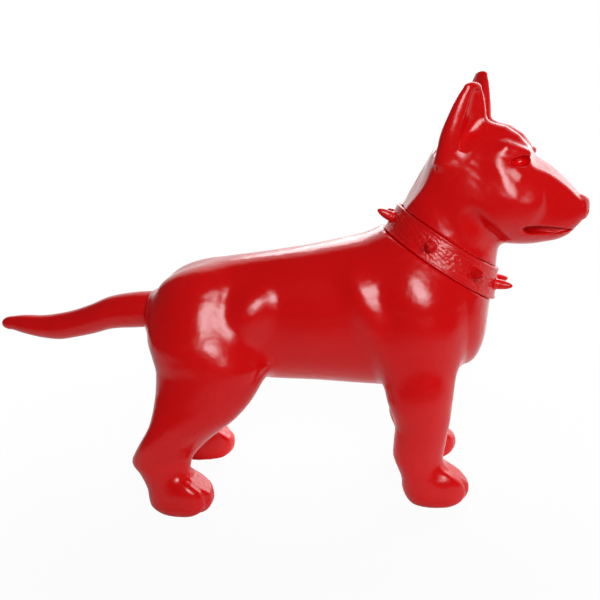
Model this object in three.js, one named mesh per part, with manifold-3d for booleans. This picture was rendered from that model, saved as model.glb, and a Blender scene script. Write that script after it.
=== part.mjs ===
// Free-standing bull terrier statue with a spiked collar: hollow lacquered castings on steel rods.
// Millimetres. +X is the way the dog faces, +Y its left side, +Z up; the paws stand on z = 0.
import * as THREE from 'three';
import { mergeVertices } from 'three/addons/utils/BufferGeometryUtils.js';
import Module from 'manifold-3d';

const wasm = await Module();
wasm.setup();

const FIT = 0.3; // gap left between pieces that touch
const WALL = 9; // thickness of the hollow castings
const FAR = 2000; // size of the blocks that cut along a plane
const SPARE = 10; // how far a form runs past the plane that trims it
const TINY = 1e-6; // keeps the distances defined in the very middle of a form
const SHIFT_X = 5.5; // puts the middle of the whole length over the origin

// Meshing of the sculpted forms: half size and step of the first search, cells, facets and final settling.
const SPACE = 760;
const SPACE_STEP = 40;
const BODY_MESH = { cell: 7, facets: 1900 };
const HEAD_MESH = { cell: 5, facets: 2560 };
const HOLLOW_MESH = { cell: 10, facets: 360 };
const SETTLE_STEP = 0.05;
const SETTLE_LIMIT = 1;

// Body: each row is a station along the form. A form's reach is how softly it joins the rest.
const TORSO = [ // x, top, bottom, half width
  [-212, 366, 280, 50], [-190, 384, 256, 76], [-160, 399, 236, 97], [-125, 409, 219, 103],
  [-95, 414, 210, 96], [-68, 417, 204, 85], [-20, 421, 199, 83], [60, 429, 193, 92], [140, 441, 185, 103],
  [210, 450, 180, 109], [262, 444, 186, 104], [300, 415, 213, 90],
];
const NECK = [ // height along the neck, nape side, throat side, half width
  [20, 106, -100, 98], [60, 102, -98, 91], [100, 95, -95, 85], [125, 101, -84, 82], [150, 107, -72, 78],
  [200, 106, -50, 72], [240, 100, -40, 64],
];
const NAPE_FLAT = 91.5; // how far the flat of the nape lies from the neck's line
const NAPE_TWIST = { from: 129, rate: 0.00185 }; // height where it begins to turn, and how fast
const NAPE_FALL = 0.25; // how fast it leaves the neck below the collar
const NAPE_EDGE = 4;
const NECK_REACH = 30;
const FRONT_LEG = [ // z, front, back, half width, from the middle
  [60, 255, 188, 31, 87], [100, 262, 180, 33, 87], [140, 270, 179, 36, 87], [180, 276, 171, 41, 85],
  [220, 283, 166, 43, 78], [258, 290, 164, 45, 76], [300, 296, 168, 46, 77], [330, 294, 172, 42, 74],
];
const HIND_LEG = [ // and how much the section turns outwards at the back
  [20, -170, -234, 28, 102, 0], [45, -166, -237, 28, 102, 0], [70, -162, -245, 28, 102, -0.04],
  [95, -154, -254, 29, 102, -0.16], [120, -128, -242, 32, 102, -0.26], [160, -75, -217, 37, 100, -0.2],
  [200, -40, -207, 42, 95, -0.11], [240, -22, -206, 46, 86, -0.03], [265, -34, -211, 47, 82.5, 0],
  [295, -50, -217, 47, 74.5, 0], [335, -66, -214, 38, 59, 0], [365, -84, -186, 24, 46, 0],
];
const FRONT_LEG_REACH = 20;
const HIND_LEG_REACH = 28;
const FRONT_PAW = { x: 245, y: 86, turn: 0, reach: 22 };
const HIND_PAW = { x: -181, y: 102, turn: 6, reach: 18 };
const PAD = { centre: [-12, 0, 25], radii: [38, 33, 36] };
const TOES = [ // outer and inner side toe, then the outer and inner front toe
  { centre: [9, 21, 24], radii: [39, 17.5, 25.5], reach: 8 },
  { centre: [9, -21, 24], radii: [39, 17.5, 25.5], reach: 16 },
  { centre: [24, 7.5, 25], radii: [31, 14, 27], reach: 3 },
  { centre: [24, -7.5, 25], radii: [31, 14, 27], reach: 14 },
];
const LOIN = { centre: [-48, 57, 328], radii: [52, 38, 42], slope: 0.75, reach: 18 };
const RIBS = { centre: [130, 68, 306], radii: [54, 38, 92], reach: 22 };
const SHOULDER = { centre: [232, 80, 310], radii: [54, 34, 88], reach: 24 };
const FOREARM = { centre: [233, 91, 198], radii: [36, 33, 52], reach: 10 };

// Neck line: the foot of the neck, the way it rises and the way its nape faces.
const NECK_FOOT = new THREE.Vector3(215, 0, 326.5);
const NECK_RISE = new THREE.Vector3(0.58, 0, 0.815).normalize();
const NECK_NAPE = new THREE.Vector3(-NECK_RISE.z, 0, NECK_RISE.x);
const RIGHT = new THREE.Vector3(0, -1, 0);

// Head, in its own frame: u forward, v left, w up, turned towards the dog's right.
const HEAD_TURN = THREE.MathUtils.degToRad(18);
const HEAD_X = 300;
const HEAD = [ // u, top, bottom, half width
  [-22, 574, 470, 58], [10, 597, 441, 70], [45, 600, 427, 71], [75, 592, 418, 73], [94, 578, 416, 69.5],
  [112, 560, 416.5, 61], [130, 547, 419, 50], [150, 530, 422.5, 39], [166, 513, 430, 30],
  [174, 503, 438, 26], [188, 487, 453, 20],
];
const HEAD_REACH = 20;
const MUZZLE_TOP = [ // u, height
  [104, 573], [112.5, 558.5], [117.5, 551.5], [123, 546.5], [138, 536.5], [152, 524], [167, 508.5],
  [181, 491.5],
];
const MUZZLE_EDGE = 2.5;
const BROW = [ // u, v, w, radius
  [18, 25, 592, 15], [50, 26, 590, 15], [70, 26, 584, 15], [86, 25.5, 574, 14], [97, 25, 564, 12],
  [104, 24, 554, 8.5],
];
const BROW_REACH = 7;
const LID = { from: [80, 49, 566], to: [107, 40, 556], radius: 9, endRadius: 7, reach: 10 };
const LOWER_LID = { from: [88, 55, 537], to: [100, 56, 527], radius: 4.5, reach: 10 };
const SOCKET = { centre: [107, 75, 538], radii: [26, 18, 27], reach: 10 };
const TEMPLE = { centre: [38, 62, 553], radii: [16, 7, 16], reach: 8 };
const CHEEK = { centre: [35, 52, 478], radii: [48, 26, 46], reach: 22 };
const LIP_FOLD = { centre: [85, 46, 485], radii: [45, 20, 36], reach: 16 };
const JAW_CREASE = { from: [34, 84, 468], to: [64, 60, 428], radius: 6, reach: 22 };
const EYE = { centre: [101, 51, 547], radii: [16, 18, 8], slope: -0.09 };
const EYEBALL = { centre: [103, 34, 546], radii: [9, 8, 7] };
const NOSE = { centre: [183, 0, 476], radii: [13, 14, 12], reach: 3 };
const NOSE_WING = { centre: [184, 14, 472], radii: [4, 3, 4], reach: 3 };
const NOSTRIL = { centre: [195, 8, 465], radii: [6, 3.5, 3.5] };
const EGG_SIDES = 12;
const LIPS = { // corner of the mouth, then the upper lip to the front and the lower lip back
  corner: [104, 446.5], upper: [[110, 450.5], [124, 450.5], [146, 447], [164, 442.5], [173, 440]],
  lower: [[164, 437.5], [146, 436], [124, 437.5], [110, 440]],
};
const MOUTH_DEPTH = 160;
const MOUTH_CORE = { centre: [128, 0, 445], radii: [50, 22, 26] }; // what fills the mouth behind the lips
const MUZZLE_SOLID = 62; // the head is solid in front of this, behind the eyes and the mouth
const RIGHT_EAR = { base: [8, -38, 548], tip: [33.5, -51, 664], face: [0.75, -0.66, 0] };
const LEFT_EAR = { base: [10, 38, 552], tip: [28, 58, 685], face: [0.75, 0.66, 0] };
const EAR = [ // part of the length, half width, half thickness
  [0, 43, 27], [0.36, 40, 20], [0.64, 31, 14], [0.84, 21.5, 10], [0.93, 15, 7.5],
];
const EAR_TIP = 8;
const EAR_REACH = 12;
const EAR_HOLLOW = [ // and how far forward it lies
  [0.3, 26, 18, 22], [0.6, 22, 14, 19], [0.85, 12.5, 8, 11],
];
const EAR_HOLLOW_ASIDE = 4; // towards the ear's front edge
const EAR_RIM = 2;

// Tail: a solid casting plugged into the rump.
const TAIL = [ // x, z of the middle, radius
  [-480, 313, 12], [-455, 309, 17], [-425, 304, 20], [-395, 303, 23], [-365, 307, 24], [-333, 314, 26],
  [-297, 324, 28.5], [-250, 327, 31], [-218, 327, 31],
];
const TAIL_TIP = 19;
const TAIL_SIDES = 18;
const TAIL_ROD = { radius: 5, z: 326, back: -300, front: -172 };
const RUMP_BLOCK_X = -165; // the body is solid behind this, to hold the tail rod

// Leg rods: each runs from the paw up into the hollow of the body.
const ROD_RADIUS = 6;
const FRONT_ROD = { foot: [221, 90, 22], top: [221, 82, 256] };
const HIND_ROD = { foot: [-208, 103, 22], top: [-122, 62, 282] };
const ROD_SIDES = 14;

// Collar: an elliptical strap on a tapering seat, with the joint of head and body hidden under it.
const JOINT = 100; // height of the joint along the neck
const STRAP_WIDTH = 46;
const STRAP_THICKNESS = 5.5;
const RIM_WIDTH = 4.5;
const RIM_RAISE = 1.5;
// Edges of the seat: size along and across the dog, and how far its middle lies towards the nape.
const SEAT_LOW = { height: JOINT - STRAP_WIDTH / 2, long: 101, wide: 92, middle: -8.8 };
const SEAT_HIGH = { height: JOINT + STRAP_WIDTH / 2, long: 90.5, wide: 81, middle: 5.1 };
const RING_SIDES = 40;
const SPIGOT_INSET = 13; // from the seat in to the socket of the head
const SPIGOT_WALL = 6;
const SPIGOT_FOOT = 30; // from the joint down into the body
const SPIGOT_REACH = 20;
const SOCKET_SPARE = 4;
const SPIKE_ANGLES = [22, 65, 110, 172, 215, 259, 304, 348]; // degrees, from the throat round by the right
const SPIKE_LENGTH = 28;
const SPIKE_RADIUS = 7.4;
const SPIKE_TAPER = [[0.95, 0.35], [0.75, 0.68], [0.42, 0.92], [0, 1]]; // parts of its radius and length
const FLANGE_RADIUS = 9.2;
const FLANGE_THICKNESS = 1.6;
const PEG_RADIUS = 3;
const PEG_LENGTH = 4.8;
const SPIKE_SIDES = 10;

const minus = (a, b) => [a[0] - b[0], a[1] - b[1], a[2] - b[2]];
const inner = (a, b) => a[0] * b[0] + a[1] * b[1] + a[2] * b[2];

// Sculpting with signed distances: negative inside, zero on the surface.

function blend(a, b, reach) {
  const h = THREE.MathUtils.clamp(0.5 + (0.5 * (b - a)) / reach, 0, 1);
  return b * (1 - h) + a * h - reach * h * (1 - h);
}

function carve(a, b, reach) {
  return -blend(-a, b, reach);
}

function curve(stations, column) {
  const at = stations.map((row) => row[0]);
  const value = stations.map((row) => row[column] ?? 0);
  const last = at.length - 1;
  const slope = at.map((_, i) => {
    const before = Math.max(i - 1, 0);
    const after = Math.min(i + 1, last);
    return (value[after] - value[before]) / (at[after] - at[before]);
  });
  return (t) => {
    if (t <= at[0]) return value[0];
    if (t >= at[last]) return value[last];
    let i = 0;
    while (t > at[i + 1]) i += 1;
    const h = at[i + 1] - at[i];
    const s = (t - at[i]) / h;
    const r = 1 - s;
    const start = r * r * ((1 + 2 * s) * value[i] + s * h * slope[i]);
    return start + s * s * ((3 - 2 * s) * value[i + 1] - r * h * slope[i + 1]);
  };
}

// A form swept along a line through stations [t, high, low, half width, aside, turn], with rounded ends.
function loft({ along, across, side, origin = [0, 0, 0], stations, caps, power = 2 }) {
  const [high, low, half, aside, turn] = [1, 2, 3, 4, 5].map((column) => curve(stations, column));
  const first = stations[0][0];
  const last = stations[stations.length - 1][0];
  const dot = (q, axis) => q[0] * axis[0] + q[1] * axis[1] + q[2] * axis[2];
  return (p) => {
    const q = [p[0] - origin[0], p[1] - origin[1], p[2] - origin[2]];
    const t = dot(q, along);
    const ra = (high(t) - low(t)) / 2;
    const rs = half(t);
    const off = dot(q, across) - (high(t) + low(t)) / 2;
    const u = Math.abs(off) / ra + TINY;
    const v = Math.abs(dot(q, side) - aside(t) - turn(t) * off) / rs;
    const cap = t < first ? caps[0] : caps[1];
    const over = Math.max(first - t, t - last, 0) / cap;
    const m = (u ** power + v ** power) ** (1 / power);
    const steep = m ** (2 - power) * Math.hypot(u ** (power - 1) / ra, v ** (power - 1) / rs);
    const k = Math.hypot(m, over);
    return (k * (k - 1)) / Math.hypot(steep, over / cap);
  };
}

function ellipsoid(p, { centre, radii, slope = 0 }) {
  const x = p[0] - centre[0];
  const y = p[1] - centre[1];
  const z = p[2] - centre[2];
  const [a, b, c] = radii;
  const u = x * Math.cos(slope) + z * Math.sin(slope) + TINY;
  const w = z * Math.cos(slope) - x * Math.sin(slope);
  const k = Math.hypot(u / a, y / b, w / c);
  return (k * (k - 1)) / Math.hypot(u / a / a, y / b / b, w / c / c);
}

function capsule(p, { from, to, radius, endRadius = radius }) {
  const q = p.map((value, i) => value - from[i]);
  const run = to.map((value, i) => value - from[i]);
  const length = run[0] ** 2 + run[1] ** 2 + run[2] ** 2;
  const h = THREE.MathUtils.clamp((q[0] * run[0] + q[1] * run[1] + q[2] * run[2]) / length, 0, 1);
  return Math.hypot(...q.map((value, i) => value - h * run[i])) - radius - (endRadius - radius) * h;
}

function join(d, p, part) {
  return blend(d, part.from ? capsule(p, part) : ellipsoid(p, part), part.reach);
}

const onLeft = (p) => [p[0], Math.abs(p[1]), p[2]];

const torso = loft({
  along: [1, 0, 0], across: [0, 0, 1], side: [0, 1, 0], stations: TORSO, caps: [18, 42], power: 2.2,
});
const roundNeck = loft({
  along: NECK_RISE.toArray(), across: NECK_NAPE.toArray(), side: [0, 1, 0], origin: NECK_FOOT.toArray(),
  stations: NECK, caps: [40, 40], power: 2.1,
});
const legAxes = { along: [0, 0, 1], across: [1, 0, 0], side: [0, 1, 0] };
const frontLeg = loft({ ...legAxes, stations: FRONT_LEG, caps: [20, 45] });
const hindLeg = loft({ ...legAxes, stations: HIND_LEG, caps: [16, 25] });

// How far up the neck a point is.
function neckHeight(p) {
  return inner(minus(p, NECK_FOOT.toArray()), NECK_RISE.toArray());
}

// The neck with its flat nape, which turns a little towards the ears.
function neck(p) {
  const height = neckHeight(p);
  const turn = NAPE_TWIST.rate * p[1] * Math.max(height - NAPE_TWIST.from, 0);
  const flat = NAPE_FLAT + turn + NAPE_FALL * Math.max(JOINT - height, 0);
  return carve(roundNeck(p), flat - inner(minus(p, NECK_FOOT.toArray()), NECK_NAPE.toArray()), NAPE_EDGE);
}

function paw(p, { x, y, turn }) {
  const a = THREE.MathUtils.degToRad(turn);
  const dx = p[0] - x;
  const dy = p[1] - y;
  const q = [dx * Math.cos(a) + dy * Math.sin(a), dy * Math.cos(a) - dx * Math.sin(a), p[2]];
  return TOES.reduce((d, toe) => join(d, q, toe), ellipsoid(q, PAD));
}

function bodyForm(p) {
  const q = onLeft(p);
  let d = join(join(torso(p), q, LOIN), q, RIBS);
  d = blend(d, neck(p), NECK_REACH);
  const front = join(blend(frontLeg(q), paw(q, FRONT_PAW), FRONT_PAW.reach), q, FOREARM);
  const hind = blend(hindLeg(q), paw(q, HIND_PAW), HIND_PAW.reach);
  return blend(blend(d, join(front, q, SHOULDER), FRONT_LEG_REACH), hind, HIND_LEG_REACH);
}

function earForm({ base, tip, face }) {
  const foot = new THREE.Vector3(...base);
  const along = new THREE.Vector3(...tip).sub(foot);
  const length = along.length();
  along.normalize();
  const front = new THREE.Vector3(...face);
  front.addScaledVector(along, -front.dot(along)).normalize();
  const across = new THREE.Vector3().crossVectors(front, along);
  const axes = { along: along.toArray(), across: across.toArray(), side: front.toArray() };
  const rows = EAR.map(([part, half, thick]) => [part * length, half, -half, thick]);
  const outside = loft({ ...axes, origin: base, stations: rows, caps: [22, EAR_TIP], power: 2.2 });
  const aside = EAR_HOLLOW_ASIDE * Math.sign(across.x);
  const hollowRows = EAR_HOLLOW.map(([part, half, thick, out]) => [
    part * length, aside + half, aside - half, thick, out,
  ]);
  const hollow = loft({ ...axes, origin: base, stations: hollowRows, caps: [22, 12] });
  return (q) => carve(outside(q), hollow(q), EAR_RIM);
}

const skull = loft({
  along: [1, 0, 0], across: [0, 0, 1], side: [0, 1, 0], stations: HEAD, caps: [24, 8], power: 2.5,
});
const muzzleTop = curve(MUZZLE_TOP, 1);
const rightEar = earForm(RIGHT_EAR);
const leftEar = earForm(LEFT_EAR);

function toHead(p) {
  const dx = p[0] - HEAD_X;
  const u = dx * Math.cos(HEAD_TURN) - p[1] * Math.sin(HEAD_TURN);
  return [u, dx * Math.sin(HEAD_TURN) + p[1] * Math.cos(HEAD_TURN), p[2]];
}

// A ridge through the places of the brow.
function brow(m) {
  const pieces = BROW.slice(1).map((next, i) => {
    const [from, to] = [BROW[i], next];
    return capsule(m, { from: from.slice(0, 3), to: to.slice(0, 3), radius: from[3], endRadius: to[3] });
  });
  return Math.min(...pieces);
}

function headForm(p) {
  const q = toHead(p);
  const m = onLeft(q);
  let d = skull(q);
  if (q[0] > MUZZLE_TOP[0][0]) d = carve(d, muzzleTop(q[0]) - q[2], MUZZLE_EDGE);
  d = join(join(join(d, m, CHEEK), m, LIP_FOLD), m, TEMPLE);
  d = carve(d, ellipsoid(m, SOCKET), SOCKET.reach);
  d = join(blend(d, brow(m), BROW_REACH), m, LID);
  d = blend(blend(d, rightEar(q), EAR_REACH), leftEar(q), EAR_REACH);
  return join(join(join(d, q, NOSE), m, NOSE_WING), m, LOWER_LID);
}

// From a sculpted form to a closed mesh with few facets.

const cross = (a, b) => [a[1] * b[2] - a[2] * b[1], a[2] * b[0] - a[0] * b[2], a[0] * b[1] - a[1] * b[0]];

const TETRAHEDRA = [[0, 1, 2], [0, 2, 1], [1, 0, 2], [1, 2, 0], [2, 0, 1], [2, 1, 0]];

// Corners of a box round a form, found on a coarse grid.
function boxRound(form) {
  const low = [SPACE, SPACE, SPACE];
  const high = [-SPACE, -SPACE, -SPACE];
  for (let x = -SPACE; x <= SPACE; x += SPACE_STEP) {
    for (let y = -SPACE; y <= SPACE; y += SPACE_STEP) {
      for (let z = -SPACE; z <= SPACE; z += SPACE_STEP) {
        if (form([x, y, z]) > SPACE_STEP) continue;
        [x, y, z].forEach((value, i) => {
          low[i] = Math.min(low[i], value - SPACE_STEP);
          high[i] = Math.max(high[i], value + SPACE_STEP);
        });
      }
    }
  }
  return [low, high];
}

// Walks a grid of cubes, six tetrahedra to a cube, and joins the places where the surface cuts their edges.
function polygonise(form, low, high, cell) {
  const count = low.map((value, i) => Math.ceil((high[i] - value) / cell) + 1);
  const step = [count[1] * count[2], count[2], 1];
  const at = (place) => [
    low[0] + cell * Math.floor(place / step[0]),
    low[1] + cell * (Math.floor(place / step[1]) % count[1]),
    low[2] + cell * (place % count[2]),
  ];
  const field = Float64Array.from({ length: count[0] * step[0] }, (_, place) => form(at(place)));
  const points = [];
  const faces = [];
  const known = new Map();
  const cut = (a, b) => {
    const key = Math.min(a, b) * field.length + Math.max(a, b);
    if (!known.has(key)) {
      const t = THREE.MathUtils.clamp(field[a] / (field[a] - field[b]), 0.15, 0.85);
      const [from, to] = [at(a), at(b)];
      known.set(key, points.push(from.map((value, i) => value + t * (to[i] - value))) - 1);
    }
    return known.get(key);
  };
  const facet = (a, b, c, from, to) => {
    const normal = cross(minus(points[b], points[a]), minus(points[c], points[a]));
    faces.push(inner(normal, minus(at(to), at(from))) > 0 ? [a, b, c] : [a, c, b]);
  };
  const tetrahedron = (corners) => {
    const solidOnes = corners.filter((place) => field[place] < 0);
    const empty = corners.filter((place) => field[place] >= 0);
    const [one, two] = solidOnes;
    if (solidOnes.length === 1) facet(...empty.map((place) => cut(one, place)), one, empty[0]);
    if (empty.length === 1) facet(...solidOnes.map((place) => cut(place, empty[0])), one, empty[0]);
    if (solidOnes.length === 2) {
      const [left, right] = empty;
      facet(cut(one, left), cut(one, right), cut(two, right), one, left);
      facet(cut(one, left), cut(two, right), cut(two, left), two, left);
    }
  };
  for (let place = 0; place + step[0] + step[1] + 1 < field.length; place += 1) {
    if (Math.abs(field[place]) > 4 * cell) continue;
    for (const [a, b, c] of TETRAHEDRA) {
      const second = place + step[a];
      const third = second + step[b];
      tetrahedron([place, second, third, third + step[c]]);
    }
  }
  return { points, faces };
}

function addPlane(quadric, normal, point) {
  const plane = [...normal, -inner(normal, point)];
  let slot = 0;
  for (let i = 0; i < 4; i += 1) {
    for (let j = i; j < 4; j += 1) {
      quadric[slot] += plane[i] * plane[j];
      slot += 1;
    }
  }
}

function planeError(q, [x, y, z]) {
  const square = q[0] * x * x + q[4] * y * y + q[7] * z * z + q[9];
  return square + 2 * (q[1] * x * y + q[2] * x * z + q[5] * y * z + q[3] * x + q[6] * y + q[8] * z);
}

// Removes the edges that matter least, sweep by sweep, until the mesh has the wanted number of facets.
function simplify(mesh, target) {
  const { points } = mesh;
  let { faces } = mesh;
  const quadrics = points.map(() => new Float64Array(10));
  for (const face of faces) {
    const [a, b, c] = face.map((i) => points[i]);
    const normal = cross(minus(b, a), minus(c, a));
    const size = Math.hypot(...normal) || 1;
    for (const i of face) addPlane(quadrics[i], normal.map((value) => value / size), a);
  }
  const flips = (face, gone, kept, best) => {
    const before = face.map((i) => points[i]);
    const after = face.map((i) => (i === gone || i === kept ? best : points[i]));
    const old = cross(minus(before[1], before[0]), minus(before[2], before[0]));
    const now = cross(minus(after[1], after[0]), minus(after[2], after[0]));
    return inner(old, now) < 0.5 * Math.hypot(...old) * Math.hypot(...now) || Math.hypot(...now) < 1;
  };
  let stalled = false;
  while (faces.length > target && !stalled) {
    const around = points.map(() => []);
    for (const face of faces) for (const i of face) around[i].push(face);
    const edges = [];
    for (const face of faces) {
      for (let i = 0; i < 3; i += 1) {
        const [a, b] = [face[i], face[(i + 1) % 3]];
        if (a > b) continue;
        const sum = quadrics[a].map((value, slot) => value + quadrics[b][slot]);
        const middle = points[a].map((value, axis) => (value + points[b][axis]) / 2);
        const spots = [middle, points[a], points[b]];
        const choices = spots.map((best) => ({ best, cost: planeError(sum, best) }));
        const { best, cost } = choices.reduce((x, y) => (y.cost < x.cost ? y : x));
        const length = Math.hypot(...minus(points[a], points[b]));
        edges.push({ a, b, best, sum, cost: cost + length * 1e-3 });
      }
    }
    edges.sort((x, y) => x.cost - y.cost);
    const locked = new Uint8Array(points.length);
    const dropped = new Set();
    for (const { a, b, best, sum } of edges.slice(0, Math.ceil(edges.length / 3))) {
      if (faces.length - dropped.size <= target) break;
      if (locked[a] || locked[b]) continue;
      const ringA = new Set(around[a].flat());
      const ringB = new Set(around[b].flat());
      const shared = [...ringA].filter((i) => ringB.has(i));
      if (shared.length !== 4) continue;
      const doomed = around[a].filter((face) => face.includes(b));
      const staying = [...around[a], ...around[b]].filter((face) => !doomed.includes(face));
      if (staying.some((face) => flips(face, b, a, best))) continue;
      points[a] = best;
      quadrics[a] = sum;
      for (const face of around[b]) face[face.indexOf(b)] = a;
      for (const face of doomed) dropped.add(face);
      for (const i of [...ringA, ...ringB]) locked[i] = 1;
    }
    stalled = dropped.size === 0;
    faces = faces.filter((face) => !dropped.has(face));
  }
  return { points, faces };
}

function solidOf(points, faces) {
  const used = new Map();
  const corners = [];
  const index = (i) => {
    if (!used.has(i)) {
      used.set(i, used.size);
      corners.push(...points[i]);
    }
    return used.get(i);
  };
  const triVerts = new Uint32Array(faces.flatMap((face) => face.map(index)));
  const vertProperties = new Float32Array(corners);
  return new wasm.Manifold(new wasm.Mesh({ numProp: 3, vertProperties, triVerts }));
}

// Moves a point that is near the surface of a form onto it.
function settle(form, point) {
  const p = [...point];
  for (let pass = 0; pass < 2; pass += 1) {
    const d = form(p);
    const slope = p.map((value, i) => {
      const beside = [...p];
      beside[i] += SETTLE_STEP;
      return (form(beside) - d) / SETTLE_STEP;
    });
    const move = THREE.MathUtils.clamp(d / inner(slope, slope), -SETTLE_LIMIT, SETTLE_LIMIT);
    for (let i = 0; i < 3; i += 1) p[i] -= move * slope[i];
  }
  return p;
}

function sculpt(form, { cell, facets }) {
  const { points, faces } = simplify(polygonise(form, ...boxRound(form), cell), facets);
  return solidOf(points.map((point) => settle(form, point)), faces);
}

function solid(geometry) {
  const bare = new THREE.BufferGeometry().setAttribute('position', geometry.getAttribute('position'));
  const merged = mergeVertices(bare.setIndex(geometry.getIndex()), 1e-4);
  const { array } = merged.getAttribute('position');
  const index = merged.getIndex().array;
  const points = Array.from({ length: array.length / 3 }, (_, i) => [...array.slice(3 * i, 3 * i + 3)]);
  const faces = Array.from({ length: index.length / 3 }, (_, i) => [...index.slice(3 * i, 3 * i + 3)]);
  return solidOf(points, faces.filter(([a, b, c]) => a !== b && b !== c && c !== a));
}

function toGeometry(shape) {
  const { vertProperties, triVerts } = shape.getMesh();
  const geometry = new THREE.BufferGeometry();
  geometry.setAttribute('position', new THREE.BufferAttribute(new Float32Array(vertProperties), 3));
  geometry.setIndex(new THREE.BufferAttribute(new Uint32Array(triVerts), 1));
  geometry.translate(SHIFT_X, 0, 0);
  geometry.computeVertexNormals();
  return geometry;
}

function mirrored(shape) {
  const { vertProperties, triVerts } = shape.getMesh();
  const points = Array.from({ length: vertProperties.length / 3 }, (_, i) => {
    const [x, y, z] = vertProperties.slice(3 * i, 3 * i + 3);
    return [x, -y, z];
  });
  const faces = Array.from({ length: triVerts.length / 3 }, (_, i) => [...triVerts.slice(3 * i, 3 * i + 3)]);
  return solidOf(points, faces.map((face) => face.reverse()));
}

// Simple solids.

const neckFrame = new THREE.Matrix4().makeBasis(NECK_NAPE, RIGHT, NECK_RISE).setPosition(NECK_FOOT);

// Everything above (or below) a height along the neck.
function neckBlock(height, above) {
  const block = new THREE.BoxGeometry(FAR, FAR, FAR);
  block.translate(0, 0, height + (above ? FAR / 2 : -FAR / 2));
  return solid(block.applyMatrix4(neckFrame));
}

function seatSize(height) {
  const t = (height - SEAT_LOW.height) / (SEAT_HIGH.height - SEAT_LOW.height);
  const { lerp } = THREE.MathUtils;
  return ['long', 'wide', 'middle'].map((key) => lerp(SEAT_LOW[key], SEAT_HIGH[key], t));
}

function seatPoint(height, growth, angle) {
  const [long, wide, middle] = seatSize(height);
  const nape = middle - Math.cos(angle) * (long + growth);
  return new THREE.Vector3(nape, Math.sin(angle) * (wide + growth), height).applyMatrix4(neckFrame);
}

// Tapering elliptical ring round the neck; each corner of its profile is [height, growth outside the seat].
function neckRing(profile) {
  const points = [];
  const faces = [];
  const size = profile.length;
  for (let i = 0; i < RING_SIDES; i += 1) {
    const angle = (i * 2 * Math.PI) / RING_SIDES;
    for (const [height, growth] of profile) points.push(seatPoint(height, growth, angle).toArray());
    for (let j = 0; j < size; j += 1) {
      const here = i * size;
      const next = ((i + 1) % RING_SIDES) * size;
      const k = (j + 1) % size;
      faces.push([here + j, next + k, next + j], [here + j, here + k, next + k]);
    }
  }
  return solidOf(points, faces);
}

function neckCone(low, high, growth) {
  const points = [];
  const faces = [];
  for (const height of [low, high]) {
    for (let i = 0; i < RING_SIDES; i += 1) {
      points.push(seatPoint(height, growth, (i * 2 * Math.PI) / RING_SIDES).toArray());
    }
  }
  for (let i = 0; i < RING_SIDES; i += 1) {
    const k = (i + 1) % RING_SIDES;
    faces.push([i, RING_SIDES + k, k], [i, RING_SIDES + i, RING_SIDES + k]);
    if (i > 1) faces.push([0, i - 1, i], [RING_SIDES, RING_SIDES + i, RING_SIDES + i - 1]);
  }
  return solidOf(points, faces);
}

function bar(from, to, radius, sides, before = 0, after = 0) {
  const start = new THREE.Vector3(...from);
  const way = new THREE.Vector3(...to).sub(start);
  const length = way.length();
  way.normalize();
  const geometry = new THREE.CylinderGeometry(radius, radius, length + before + after, sides);
  geometry.translate(0, (length + after - before) / 2, 0);
  geometry.applyQuaternion(new THREE.Quaternion().setFromUnitVectors(THREE.Object3D.DEFAULT_UP, way));
  return solid(geometry.translate(...from));
}

function tailSolid(growth) {
  const points = [];
  const faces = [];
  const start = TAIL[0];
  const round = [0.25, 0.6, 0.85].map((part) => {
    const size = Math.sqrt(1 - (1 - part) ** 2);
    return [start[0] - TAIL_TIP * (1 - part), start[1], start[2] * size];
  });
  const rows = [...round, ...TAIL];
  const last = rows.length - 1;
  rows.forEach(([x, z, radius], row) => {
    const shift = row === last ? growth : 0;
    for (let i = 0; i < TAIL_SIDES; i += 1) {
      const a = (i * 2 * Math.PI) / TAIL_SIDES;
      points.push([x + shift, Math.cos(a) * (radius + growth), z + Math.sin(a) * (radius + growth)]);
    }
  });
  const tip = points.push([start[0] - TAIL_TIP - growth, 0, start[1]]) - 1;
  const end = last * TAIL_SIDES;
  for (let i = 0; i < TAIL_SIDES; i += 1) {
    const k = (i + 1) % TAIL_SIDES;
    faces.push([tip, k, i]);
    if (i > 1) faces.push([end, end + i - 1, end + i]);
    for (let row = 0; row < last; row += 1) {
      const here = row * TAIL_SIDES;
      const next = here + TAIL_SIDES;
      faces.push([here + i, here + k, next + k], [here + i, next + k, next + i]);
    }
  }
  return solidOf(points, faces);
}

// Pieces.

const tailRodEnds = [[TAIL_ROD.back, 0, TAIL_ROD.z], [TAIL_ROD.front, 0, TAIL_ROD.z]];
const seatCut = neckRing([
  [SEAT_LOW.height - FIT, 0], [SEAT_LOW.height - FIT, 4 * SPARE],
  [SEAT_HIGH.height + FIT, 4 * SPARE], [SEAT_HIGH.height + FIT, 0],
]);

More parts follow.
